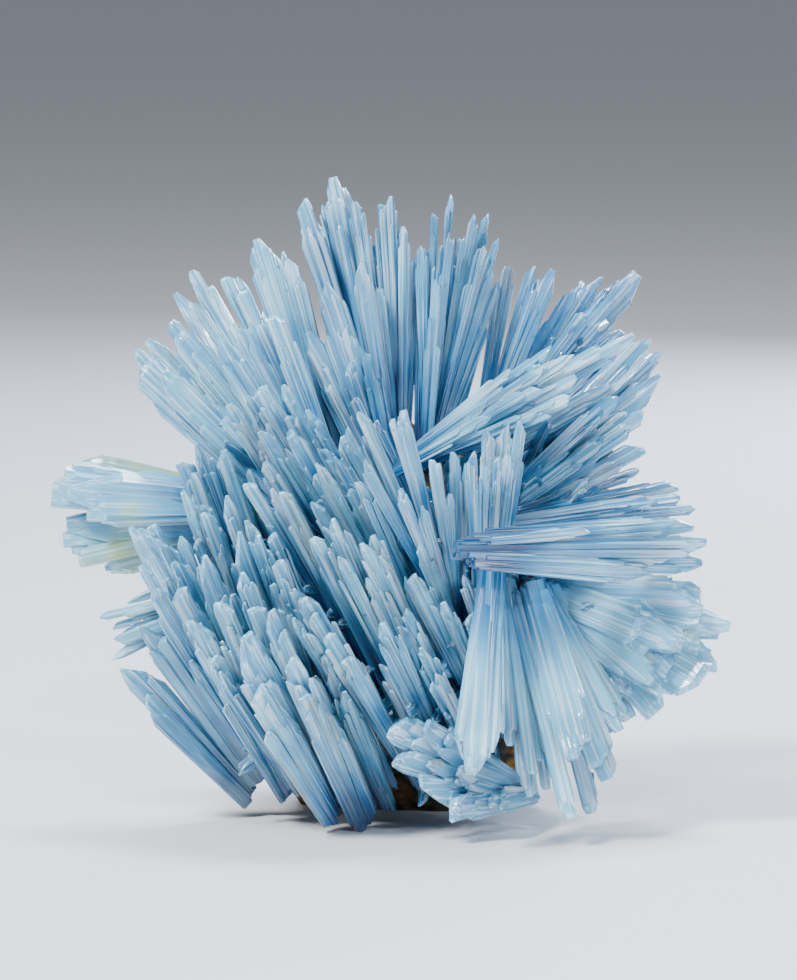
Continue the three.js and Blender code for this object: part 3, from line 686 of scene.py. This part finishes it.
def barite_material(name, looks, deep, middle, pale, clear, green, lined):
    """Milky, partly clear barite with fine lines, deep blue at the root from painted shade and paler at
    the tip from painted light.
    """
    material = bpy.data.materials.get(name)
    if material:
        return material
    material = bpy.data.materials.new(name)
    material.use_nodes = True
    tree = material.node_tree
    tree.nodes.clear()
    nodes = Nodes(tree)
    place = nodes.add("ShaderNodeTexCoord", output="Object")
    from_root = place - nodes.attribute(LATH_ROOT)
    along_axis = nodes.attribute(LATH_ALONG)
    across_axis = nodes.attribute(LATH_ACROSS)
    length, tint, chance = nodes.outputs_of(
        nodes.add("ShaderNodeSeparateXYZ", inputs=[nodes.attribute(LATH_SIZE)])
    )
    along = from_root.dot(along_axis)
    across = from_root.dot(across_axis)
    inwards = from_root.dot(along_axis.maths("CROSS_PRODUCT", across_axis))
    share = along / length
    below_tip = length - along

    def grain(fine, coarse, detail, shift=0):
        """Noise drawn out along the lath: fine and coarse are its sizes across and along."""
        sideways = across / fine + shift
        lengthwise = along / coarse + tint * 31
        return nodes.add(
            "ShaderNodeTexNoise",
            inputs={
                "Vector": nodes.vector(sideways, lengthwise, inwards / fine),
                "Scale": 1.0,
                "Detail": float(detail),
                "Roughness": 0.6,
            },
        )

    lines = grain(looks.line_size, looks.line_size * 40, detail=1)
    bands = grain(looks.line_size * 3.5, looks.line_size * 50, shift=7, detail=0)
    cloud = nodes.add(
        "ShaderNodeTexNoise",
        inputs={"Vector": place, "Scale": 1 / looks.cloud_size, "Detail": 1.0, "Roughness": 0.55},
    )

    # The colour rises from deep blue at 0 to icy blue at 1, up the lath and to its tip, and differs from
    # cloud to cloud, lath to lath and band to band. The rise up the lath and to its tip is painted light
    # and shade: the deep blue at the root is painted shade, and the icy blue at the tip is painted light.
    painted_tip_light = 1 - below_tip / looks.tip_light_reach
    rise = share * 0.4 + painted_tip_light * 0.6 + (cloud - 0.5) * 0.7 + (chance - 0.5) * 0.35 * lined
    rise = rise + (bands - 0.5) * 0.45 * lined + (1 - lined) * 0.45
    colour = nodes.mixed(rise.ramp(-0.1, 0.5), deep, middle)
    colour = nodes.mixed(rise.ramp(0.3, 0.95), colour, pale)
    greenness = cloud.ramp(0.42, 0.7) * green + tint.ramp(0.6, 1.0) * green * 0.6
    colour = nodes.mixed(greenness, colour, looks.green)
    colour = nodes.mixed((1 - lines.ramp(0.34, 0.47)) * 0.45 * lined, colour, middle)
    # The whitish finest lines are partly their own colour and partly a painted highlight, which grows
    # toward the tip.
    white_lines_and_highlight_share = lines.ramp(0.52, 0.6) * (painted_tip_light.ramp(0.2, 1.0) * 0.6 + 0.12)
    colour = nodes.mixed(white_lines_and_highlight_share, colour, looks.white_lines_and_highlight)
    streaks = bands.ramp(0.66, 0.72) * chance.ramp(0.8, 0.9) * 0.4
    colour = nodes.mixed(streaks, colour, looks.streak)
    specks = nodes.add(
        "ShaderNodeTexVoronoi",
        {"feature": "F1"},
        {"Vector": place, "Scale": 1 / looks.speck_distance},
        output="Distance",
    )
    speckled = (1 - specks.ramp(0.05, 0.09)) * cloud.ramp(0.5, 0.6) * 0.6
    colour = nodes.mixed(speckled, colour, looks.speck)
    height = lines * lined
    bump = nodes.add(
        "ShaderNodeBump", inputs={"Strength": 1.0, "Distance": looks.line_depth, "Height": height}
    )
    milky = nodes.add(
        "ShaderNodeBsdfPrincipled",
        inputs={
            "Base Color": colour,
            "Roughness": 0.07 + lines * 0.16,
            "IOR": looks.ior,
            "Normal": bump,
        },
    )
    clear_shader = nodes.add(
        "ShaderNodeBsdfPrincipled",
        inputs={
            "Base Color": nodes.mixed(0.25, colour, (1, 1, 1, 1)),
            "Roughness": 0.04 + lines * 0.12,
            "IOR": looks.ior,
            "Transmission Weight": 1.0,
            "Normal": bump,
        },
    )

    # The clear share grows toward the tip and outside the clouds.
    clearness = (share.ramp(0.55, 1.0) * 0.5 + 0.5) * (1.25 - cloud.ramp(0.35, 0.62)) * clear
    surface = nodes.add("ShaderNodeMixShader", inputs=[clearness, milky, clear_shader])
    absorbing = nodes.add(
        "ShaderNodeVolumeAbsorption", inputs={"Color": middle, "Density": looks.absorption}
    )
    nodes.add("ShaderNodeOutputMaterial", inputs={"Surface": surface, "Volume": absorbing})
    return material


def rock_material(looks):
    """Dull brown limonite with ochre patches."""
    material = bpy.data.materials.new("iron_oxide_rock")
    material.use_nodes = True
    tree = material.node_tree
    tree.nodes.clear()
    nodes = Nodes(tree)
    place = nodes.add("ShaderNodeTexCoord", output="Object")

    def grain(size):
        return nodes.add(
            "ShaderNodeTexNoise",
            inputs={"Vector": place, "Scale": 1 / size, "Detail": 6.0, "Roughness": 0.62},
        )

    patches = grain(0.011)
    crumbs = grain(0.0022)
    pits = nodes.add(
        "ShaderNodeTexVoronoi",
        {"feature": "F1"},
        {"Vector": place, "Scale": 420.0},
        output="Distance",
    )
    colour = nodes.mixed(crumbs.ramp(0.35, 0.68), looks.rock_dark, looks.rock_brown)
    ochre = (patches + (crumbs - 0.5) * 0.3).ramp(0.54, 0.64)
    colour = nodes.mixed(ochre * 0.85, colour, looks.ochre)
    rust = (grain(0.006) - patches * 0.3).ramp(0.4, 0.5) * 0.4
    colour = nodes.mixed(rust, colour, looks.rust)
    height = crumbs * 0.8 + pits * 0.5 + patches * 0.4
    bump = nodes.add("ShaderNodeBump", inputs={"Strength": 0.9, "Distance": 0.0011, "Height": height})
    surface = nodes.add(
        "ShaderNodeBsdfPrincipled",
        inputs={
            "Base Color": colour,
            "Roughness": 0.95 - crumbs * 0.35,
            "Specular IOR Level": 0.35,
            "Normal": bump,
        },
    )
    nodes.add("ShaderNodeOutputMaterial", inputs={"Surface": surface})
    return material


def colour_property(name, description, default):
    """A colour that a user may change."""
    return bpy.props.FloatVectorProperty(
        name=name,
        description=description,
        subtype="COLOR",
        size=4,
        min=0,
        max=1,
        default=(*default, 1),
    )


def share_property(name, description, default):
    """A share or a multiple that a user may change."""
    return bpy.props.FloatProperty(
        name=name, description=description, default=default, min=0, subtype="FACTOR"
    )


def size_property(name, description, default):
    """A length in metres that a user may change."""
    return bpy.props.FloatProperty(
        name=name, description=description, default=default, min=0, unit="LENGTH", precision=5
    )


class BariteHabit(bpy.types.PropertyGroup):
    """How the crystals are built up of laths."""

    density: share_property("Density", "Number of laths, over the usual number", 1)
    tip_step: share_property("Tip step", "How far lath tips step back, over the usual way", 1)
    splay: share_property("Splay", "How far lath tips stray, over their length", 0.022)
    thickness: share_property("Thickness", "Thickness over width", 0.42)
    fill: share_property("Fill", "Extra crystals between neighbours, over the usual number", 1)
    sink: size_property("Sink", "How deep the laths run on below the root", 0.003)


class BariteLooks(bpy.types.PropertyGroup):
    """The colours and the fine detail of crystals, rock and stage."""

    # Deep blue is painted shade at the roots of the blades, down in the hollows, and icy blue is painted
    # light at their tips.
    deep: colour_property("Deep blue", "Barite at the root and in the hollows", (0.005, 0.055, 0.19))
    middle: colour_property("Sky blue", "Barite in the middle of a blade", (0.035, 0.24, 0.51))
    pale: colour_property("Icy blue", "Barite at the tips", (0.19, 0.55, 0.82))
    green: colour_property("Greenish", "Cloudy tint in some blades", (0.4, 0.56, 0.28))
    streak: colour_property("Streak", "Golden brown streaks in a few blades", (0.3, 0.24, 0.1))
    # The whitish colour of the finest lines, which also serves as a painted highlight near the tips.
    white_lines_and_highlight: colour_property("Frost", "The finest lines along a blade", (0.62, 0.85, 1.0))
    speck: colour_property("Speck", "Tiny dark inclusions", (0.04, 0.1, 0.15))
    rock_dark: colour_property("Dark rock", "Limonite in the hollows", (0.02, 0.016, 0.011))
    rock_brown: colour_property("Brown rock", "Limonite", (0.11, 0.07, 0.035))
    ochre: colour_property("Ochre", "Yellow patches on the rock", (0.36, 0.19, 0.015))
    rust: colour_property("Rust", "Reddish patches on the rock", (0.17, 0.06, 0.02))
    floor: colour_property("Floor", "The pale floor", (0.72, 0.75, 0.8))
    line_size: size_property("Line size", "Distance between the fine lines along a blade", 0.0005)
    line_depth: size_property("Line depth", "Depth of the fine lines", 0.0003)
    # This sets how far down from a blade's tip the painted light reaches.
    tip_light_reach: size_property("Tip reach", "How far down from its tip a blade is pale", 0.024)
    cloud_size: size_property("Cloud size", "Size of the milky clouds", 0.009)
    speck_distance: size_property("Speck distance", "Distance between dark specks", 0.0042)
    ior: bpy.props.FloatProperty(
        name="IOR", description="Index of refraction of barite", default=1.636, min=1
    )
    absorption: bpy.props.FloatProperty(
        name="Absorption", description="Density of the clear parts, per metre", default=70, min=0
    )


# Each form that the crystals take: laths to a millimetre of crystal width, lath width as a
# share of it, how many widths the tips step back, how blunt they are, and the extra crystals
# between neighbours over the number of crystals.
HABITS = {
    "stout": (0.3, 0.8, 0.4, 0.5, 0.2),
    "plates": (0.9, 0.52, 0.9, 0.5, 0.9),
    "blades": (1.5, 0.36, 1.4, 0.42, 1.2),
    "rows": (2.2, 0.3, 1.7, 0.4, 1.3),
    "bundle": (2.6, 0.3, 2.0, 0.3, 1.3),
    "needles": (2.4, 0.4, 3.4, 0.16, 1.4),
    "crossing": (1.2, 0.55, 0.8, 0.45, 0.2),
}
FORM_OF = {
    "hanging_blade": "plates",
    "hanging_fan": "plates",
    "lower_right_fan": "plates",
    "foot_blades": "plates",
    "left_pair": "stout",
    "left_lower_rows": "blades",
    "low_front_blades": "blades",
    "upper_left_spray": "blades",
    "back_left_spray": "blades",
    "back_right_spray": "blades",
    "front_mass": "rows",
    "left_upper_rows": "rows",
    "low_middle_rows": "rows",
    "crown_spray": "rows",
    "upper_right_spray": "rows",
    "cross_bundle": "bundle",
    "right_back_laths": "bundle",
    "upright_bundle": "bundle",
    "crossing_needles": "crossing",
    "right_light_bundle": "bundle",
    "right_spray": "bundle",
    "needle_fan": "needles",
    "left_needles": "needles",
}

# The finish of each kind of barite: share that is clear, share that is tinted green, and how icy its tips
# are, from 0, sky blue, to 1, which is how strong the painted light on its tips is.
FINISHES = {
    "barite_pale": (0.26, 0.12, 1.0),
    "barite_blue": (0.34, 0.06, 0.62),
    "barite_deep": (0.5, 0.0, 0.35),
    "barite_greenish": (0.25, 1.0, 1.0),
}
BROAD_FORMS = ("stout", "plates")
LINED_ON_BROAD = 0.35


def finish(slot, form):
    """The material of one of the record's slots. Broad forms are smoother and paler."""
    looks = bpy.context.scene.barite_looks
    clear, green, icy = FINISHES[slot]
    deep = tuple(looks.deep)
    middle = tuple(looks.middle)
    # The tips' colour: painted light that pales them, as strong as the finish gives.
    pale = tuple(icy * p + (1 - icy) * m for p, m in zip(looks.pale, looks.middle))
    lined = LINED_ON_BROAD if form in BROAD_FORMS else 1.0
    name = f"{slot}_lined_{lined:.0%}"
    return barite_material(name, looks, deep, middle, pale, clear, green, lined)


def slot_of(name):
    """The material slot that the record gives to the spray of that name."""
    for part in frame["record"]["subparts"]:
        if name in (part.get("node"), part.get("name")):
            return part["material_slot"]
    raise RuntimeError(f"the record has no slot for {name}")


def spray_piece(name):
    """One spray of crystals, which stands for the spray of the same name in the frame."""
    slot = slot_of(name)
    form = FORM_OF[name]
    fill = HABITS[form][-1] * bpy.context.scene.barite_habit.fill
    seed = 11 + 7 * list(SPRAYS).index(name)
    rows = crystal_rows(SPRAYS[name])
    others = [row for fans in SPRAYS.values() for row in crystal_rows(fans)]
    rows += between(rows, others, fill, seed)
    piece = bundle(name + "_laths", rows, form, finish(slot, form), seed)
    if not piece.data.polygons:
        raise RuntimeError(f"{name} came out empty")
    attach(piece, "root")
    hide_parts(name)


class SprayOperator:
    """Shared by the operators that grow sprays."""

    bl_options = {"REGISTER", "UNDO"}
    sprays = ()

    def execute(self, context):
        for name in self.sprays:
            spray_piece(name)
        return {"FINISHED"}


class BARITE_OT_crown(SprayOperator, bpy.types.Operator):
    """Grow the crown and the needles that stand at the top"""

    bl_idname = "barite.crown"
    bl_label = "Crown"
    sprays = ("crown_spray", "needle_fan", "upper_left_spray", "upper_right_spray")


class BARITE_OT_front(SprayOperator, bpy.types.Operator):
    """Grow the shingled rows of blades that cover the front"""

    bl_idname = "barite.front"
    bl_label = "Front rows"
    sprays = (
        "front_mass",
        "left_upper_rows",
        "left_lower_rows",
        "low_middle_rows",
        "low_front_blades",
        "foot_blades",
    )


class BARITE_OT_left(SprayOperator, bpy.types.Operator):
    """Grow the pair of stout blades and the needles on the left"""

    bl_idname = "barite.left"
    bl_label = "Left blades"
    sprays = ("left_pair", "left_needles")


class BARITE_OT_right(SprayOperator, bpy.types.Operator):
    """Grow the bundles that cross on the right"""

    bl_idname = "barite.right"
    bl_label = "Right bundles"
    sprays = (
        "cross_bundle",
        "right_back_laths",
        "upright_bundle",
        "crossing_needles",
        "right_light_bundle",
        "right_spray",
    )


class BARITE_OT_hanging(SprayOperator, bpy.types.Operator):
    """Grow the blades that hang and the plates at the lower right"""

    bl_idname = "barite.hanging"
    bl_label = "Hanging blades"
    sprays = ("hanging_blade", "hanging_fan", "lower_right_fan")


class BARITE_OT_back(SprayOperator, bpy.types.Operator):
    """Grow the sprays on the back of the rock"""

    bl_idname = "barite.back"
    bl_label = "Back sprays"
    sprays = ("back_left_spray", "back_right_spray")


class BARITE_OT_inner(bpy.types.Operator):
    """Grow the short deep blue blades that show in the hollows"""

    bl_idname = "barite.inner"
    bl_label = "Inner blades"

    def execute(self, context):
        rows = inner_rows(INNER_BLADES, INNER_SEED)
        material = finish("barite_deep", "blades")
        piece = bundle("inner_blades", rows, "blades", material, INNER_SEED)
        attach(piece, "root")
        return {"FINISHED"}


# The rock's relief in millimetres: size and height of each noise, coarse to fine, and of the
# ledges. It fades out over its lowest part, whose height is in metres.
RELIEF = ((7.0, 1.3), (3.1, 0.7), (1.1, 0.28), (0.6, 0.12))
LEDGE_SIZE = 5.0
LEDGE_DEPTH = 1.4
LEDGE_SHIFT = Vector((9, 4, 2))
RELIEF_FADE = 0.004
ROCK_CUTS = 7


def relief(place):
    """How far the rock's surface is moved out at a place in millimetres."""
    rise = sum(noise.noise(place / size) * height for size, height in RELIEF)
    return rise - abs(noise.noise(place / LEDGE_SIZE + LEDGE_SHIFT)) * LEDGE_DEPTH


class BARITE_OT_rock(bpy.types.Operator):
    """Shape the rock that the crystals grew on"""

    bl_idname = "barite.rock"
    bl_label = "Rock"

    def execute(self, context):
        work = bmesh.new()
        work.from_mesh(frame["nodes"]["matrix_rock"].data)
        bmesh.ops.remove_doubles(work, verts=work.verts, dist=1e-6)
        bmesh.ops.subdivide_edges(work, edges=work.edges, cuts=ROCK_CUTS, use_grid_fill=True)
        work.normal_update()
        moves = [relief(vert.co * 1000) * MM for vert in work.verts]
        for vert, move in zip(work.verts, moves):
            if vert.co.z > 0.0002:
                vert.co += vert.normal * move * min(1, vert.co.z / RELIEF_FADE)
                vert.co.z = max(vert.co.z, 0.0001)
        mesh = bpy.data.meshes.new("rock")
        work.to_mesh(mesh)
        work.free()
        rock = bpy.data.objects.new("rock_with_ochre", mesh)
        context.scene.collection.objects.link(rock)
        mesh.materials.clear()
        mesh.materials.append(rock_material(context.scene.barite_looks))
        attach(rock, "root")
        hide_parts("matrix_rock")
        return {"FINISHED"}


# Studio light: name, place and size in metres, watts and colour of each lamp.
LAMPS = (
    ("key", (-0.5, -0.5, 0.75), 0.22, 18, (1.0, 0.98, 0.95)),
    ("fill", (0.75, -0.45, 0.3), 0.3, 2.5, (0.85, 0.93, 1.0)),
    ("top", (0.1, 0.2, 0.8), 0.3, 8, (0.9, 0.95, 1.0)),
    ("back", (0.35, 0.7, 0.3), 0.35, 8, (0.72, 0.84, 1.0)),
    ("glint", (0.12, -0.75, 0.5), 0.04, 3, (1.0, 1.0, 1.0)),
)
SUN_HEADING = (0.5, 0.45, -1)
SUN_STRENGTH = 0.4
SUN_ANGLE = 1.0
SKY_COLOUR = (0.7, 0.78, 0.88, 1)
SKY_STRENGTH = 0.22
FLOOR_REACH = 60.0

# The camera looks straight at the leaning face: the place it looks at in millimetres, its
# distance, and the height that the picture takes in there, both in metres.
VIEW_CENTRE = (1.2, 0, 49.5)
VIEW_DISTANCE = 0.9
VIEW_HEIGHT = 0.147


def turned_to(direction):
    """The rotation of a lamp or a camera that looks that way."""
    return direction.to_track_quat("-Z", "Y").to_euler()


class BARITE_OT_stage(bpy.types.Operator):
    """Set the floor, the camera and the studio light"""

    bl_idname = "barite.stage"
    bl_label = "Stage"

    def execute(self, context):
        scene = context.scene
        looks = scene.barite_looks
        mesh = bpy.data.meshes.new("floor")
        corners = [(x * FLOOR_REACH, y * FLOOR_REACH, 0) for x, y in ((-1, -1), (1, -1), (1, 1), (-1, 1))]
        mesh.from_pydata(corners, [], [(0, 1, 2, 3)])
        floor = bpy.data.objects.new("floor", mesh)
        scene.collection.objects.link(floor)
        material = bpy.data.materials.new("pale_floor")
        material.use_nodes = True
        shader = material.node_tree.nodes["Principled BSDF"]
        shader.inputs["Base Color"].default_value = looks.floor
        shader.inputs["Roughness"].default_value = 0.7
        mesh.materials.append(material)

        world = bpy.data.worlds.new("studio")
        world.use_nodes = True
        world.node_tree.nodes["Background"].inputs["Color"].default_value = SKY_COLOUR
        world.node_tree.nodes["Background"].inputs["Strength"].default_value = SKY_STRENGTH
        scene.world = world
        aim = on_face(VIEW_CENTRE)
        for name, place, size, power, colour in LAMPS:
            light = bpy.data.lights.new(name, "AREA")
            light.shape = "DISK"
            light.size = size
            light.energy = power
            light.color = colour
            lamp = bpy.data.objects.new(name, light)
            lamp.location = place
            lamp.rotation_euler = turned_to(aim - Vector(place))
            scene.collection.objects.link(lamp)

        sun = bpy.data.lights.new("soft_sun", "SUN")
        sun.energy = SUN_STRENGTH
        sun.angle = SUN_ANGLE
        lamp = bpy.data.objects.new("soft_sun", sun)
        lamp.rotation_euler = turned_to(Vector(SUN_HEADING))
        scene.collection.objects.link(lamp)

        camera = bpy.data.cameras.new("camera")
        camera.sensor_width = 36
        camera.lens = camera.sensor_width * VIEW_DISTANCE / VIEW_HEIGHT
        camera.clip_start = 0.05
        camera.clip_end = 20
        eye = bpy.data.objects.new("camera", camera)
        eye.location = aim - INTO_FACE * VIEW_DISTANCE
        eye.rotation_euler = turned_to(INTO_FACE)
        scene.collection.objects.link(eye)
        scene.camera = eye
        # More bounces than these add little light in milky blades, and take long to render.
        scene.cycles.max_bounces = 6
        scene.cycles.transmission_bounces = 6
        scene.cycles.diffuse_bounces = 2
        return {"FINISHED"}


class BARITE_PT_panel(bpy.types.Panel):
    """The cluster's steps in the 3D view's sidebar"""

    bl_idname = "BARITE_PT_panel"
    bl_label = "Barite cluster"
    bl_space_type = "VIEW_3D"
    bl_region_type = "UI"
    bl_category = "Barite"

    def draw(self, context):
        for operator in OPERATORS:
            self.layout.operator(operator.bl_idname)
        for group in (context.scene.barite_habit, context.scene.barite_looks):
            box = self.layout.box()
            for name in group.__annotations__:
                box.prop(group, name)


OPERATORS = (
    BARITE_OT_stage,
    BARITE_OT_rock,
    BARITE_OT_inner,
    BARITE_OT_crown,
    BARITE_OT_front,
    BARITE_OT_left,
    BARITE_OT_right,
    BARITE_OT_hanging,
    BARITE_OT_back,
)
CLASSES = (BariteHabit, BariteLooks, *OPERATORS, BARITE_PT_panel)


def register():
    for item in CLASSES:
        bpy.utils.register_class(item)
    bpy.types.Scene.barite_habit = bpy.props.PointerProperty(type=BariteHabit)
    bpy.types.Scene.barite_looks = bpy.props.PointerProperty(type=BariteLooks)


def unregister():
    del bpy.types.Scene.barite_looks
    del bpy.types.Scene.barite_habit
    for item in reversed(CLASSES):
        bpy.utils.unregister_class(item)


def main():
    register()
    for operator in OPERATORS:
        group, name = operator.bl_idname.split(".")
        getattr(getattr(bpy.ops, group), name)()
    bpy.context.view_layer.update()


if __name__ == "__main__":
    main()
